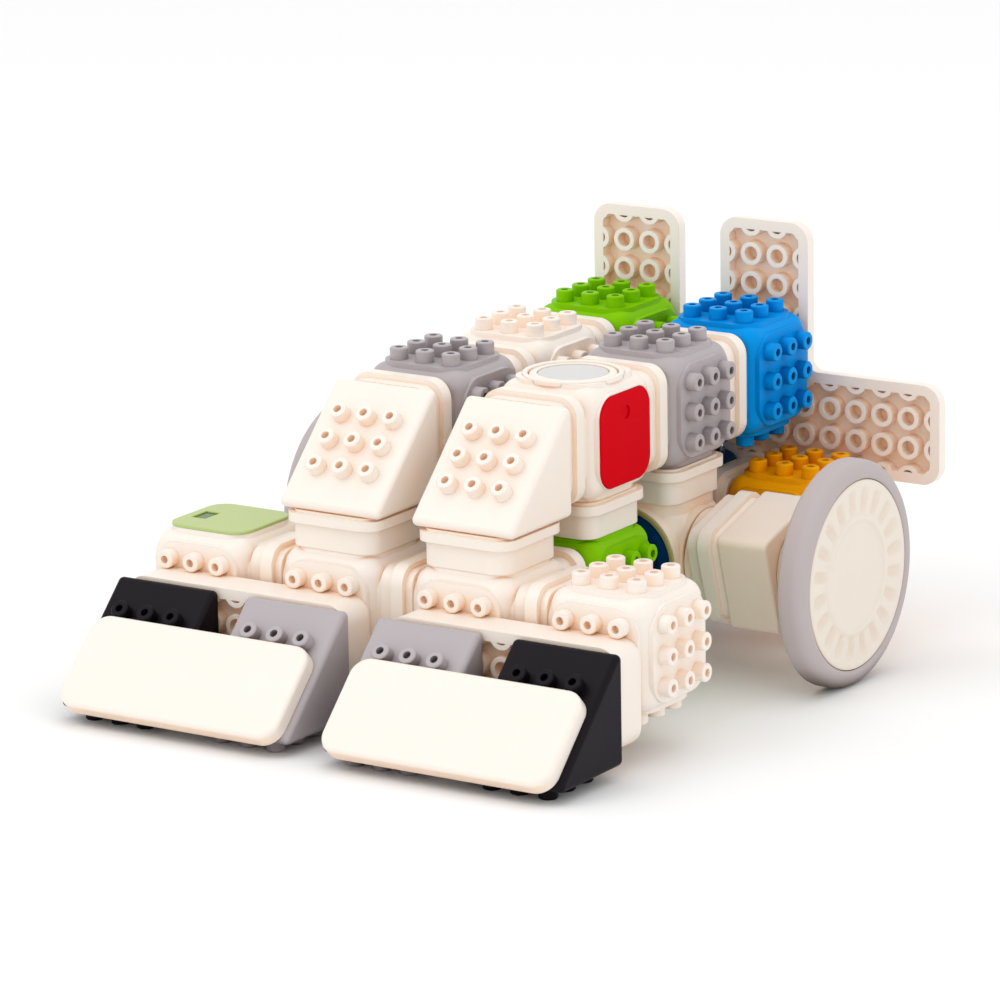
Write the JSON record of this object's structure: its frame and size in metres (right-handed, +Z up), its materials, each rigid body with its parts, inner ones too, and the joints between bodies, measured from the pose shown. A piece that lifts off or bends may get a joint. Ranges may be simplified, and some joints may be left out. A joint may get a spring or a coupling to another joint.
{
  "type": "modular wheeled toy robot",
  "caption": "Race-car robot built from studded cube modules, with front scoops, windscreen wedges, L-shaped tail plates and two driven rear wheels.",
  "frame": {"origin": "on the floor, under the middle of the whole robot, which leans 1.3 degrees nose-down on its tyres and front studs", "axes": "+Z up, +Y from the nose to the tail, +X to the right as seen from the front"},
  "size_m": [0.2016, 0.248, 0.1353],
  "materials": {
    "ivory_plastic": "satin moulded ABS",
    "link_plastic": "satin moulded ABS",
    "grey_plastic": "satin moulded ABS",
    "black_plastic": "satin moulded ABS",
    "green_plastic": "satin moulded ABS",
    "blue_plastic": "satin moulded ABS",
    "navy_plastic": "satin moulded ABS",
    "orange_plastic": "satin moulded ABS",
    "red_plastic": "satin moulded ABS",
    "lime_plastic": "satin moulded ABS",
    "window_plastic": "dark tinted window",
    "lens_plastic": "smooth translucent cap",
    "cream_plastic": "satin moulded ABS",
    "olive_plastic": "satin moulded ABS",
    "tyre_rubber": "matt soft rubber",
    "steel": "ground shaft",
    "motor_casing": "moulded gearbox",
    "battery_wrap": "shrink wrap",
    "board": "solder mask"
  },
  "bodies": {
    "chassis": {"battery": "battery_wrap", "bumper_left": "ivory_plastic", "bumper_right": "ivory_plastic", "button_bezel": "ivory_plastic", "chassis_links": "link_plastic", "circuit_board": "board", "cover_red": "red_plastic", "cube_button": "ivory_plastic", "cube_deck_blue": "blue_plastic", "cube_deck_green": "green_plastic", "cube_deck_grey_left": "grey_plastic", "cube_deck_grey_right": "grey_plastic", "cube_deck_white": "ivory_plastic", "cube_front_a": "ivory_plastic", "cube_front_b": "ivory_plastic", "cube_front_c": "ivory_plastic", "cube_low_blue": "navy_plastic", "cube_low_green": "green_plastic", "cube_sensor": "ivory_plastic", "cube_tail_blue": "navy_plastic", "cube_tail_orange_left": "orange_plastic", "cube_tail_orange_right": "orange_plastic", "deck_links": "link_plastic", "drive_base": "cream_plastic", "drive_housing": "cream_plastic", "front_row_links": "link_plastic", "gearmotor_left": "motor_casing", "gearmotor_right": "motor_casing", "port_disc_left": "navy_plastic", "port_disc_right": "navy_plastic", "port_ring_left": "olive_plastic", "port_ring_right": "olive_plastic", "risers": "link_plastic", "scoop_left": "ivory_plastic", "scoop_right": "ivory_plastic", "sensor_cover": "lime_plastic", "sensor_window": "window_plastic", "tail_links": "link_plastic", "tail_plate_left": "ivory_plastic", "tail_plate_right": "ivory_plastic", "wedge_black_left": "black_plastic", "wedge_black_right": "black_plastic", "wedge_grey_left": "grey_plastic", "wedge_grey_right": "grey_plastic", "windscreen_left": "ivory_plastic", "windscreen_right": "ivory_plastic"},
    "wheel_left": {"tyre_left": "tyre_rubber", "hub_left": "ivory_plastic", "hub_block_left": "cream_plastic", "wheel_link_left": "link_plastic", "output_disc_left": "cream_plastic", "axle_left": "steel"},
    "wheel_right": {"tyre_right": "tyre_rubber", "hub_right": "ivory_plastic", "hub_block_right": "cream_plastic", "wheel_link_right": "link_plastic", "output_disc_right": "cream_plastic", "axle_right": "steel"},
    "button": {"button_cap": "ivory_plastic", "button_lens": "lens_plastic"}
  },
  "joints": [
    {"name": "wheel_left_spin", "type": "hinge", "parent": "chassis", "child": "wheel_left", "pos_m": [0, 0.0493, 0.0372], "axis": [1, 0, 0], "continuous": true},
    {"name": "wheel_right_spin", "type": "hinge", "parent": "chassis", "child": "wheel_right", "pos_m": [0, 0.0493, 0.0372], "axis": [1, 0, 0], "continuous": true},
    {"name": "button_press", "type": "slide", "parent": "chassis", "child": "button", "axis": [0, 0.0231, -0.9997], "range_m": [0, 0.001], "stiffness_N_per_m": 800, "springref_m": -0.0006}
  ]
}
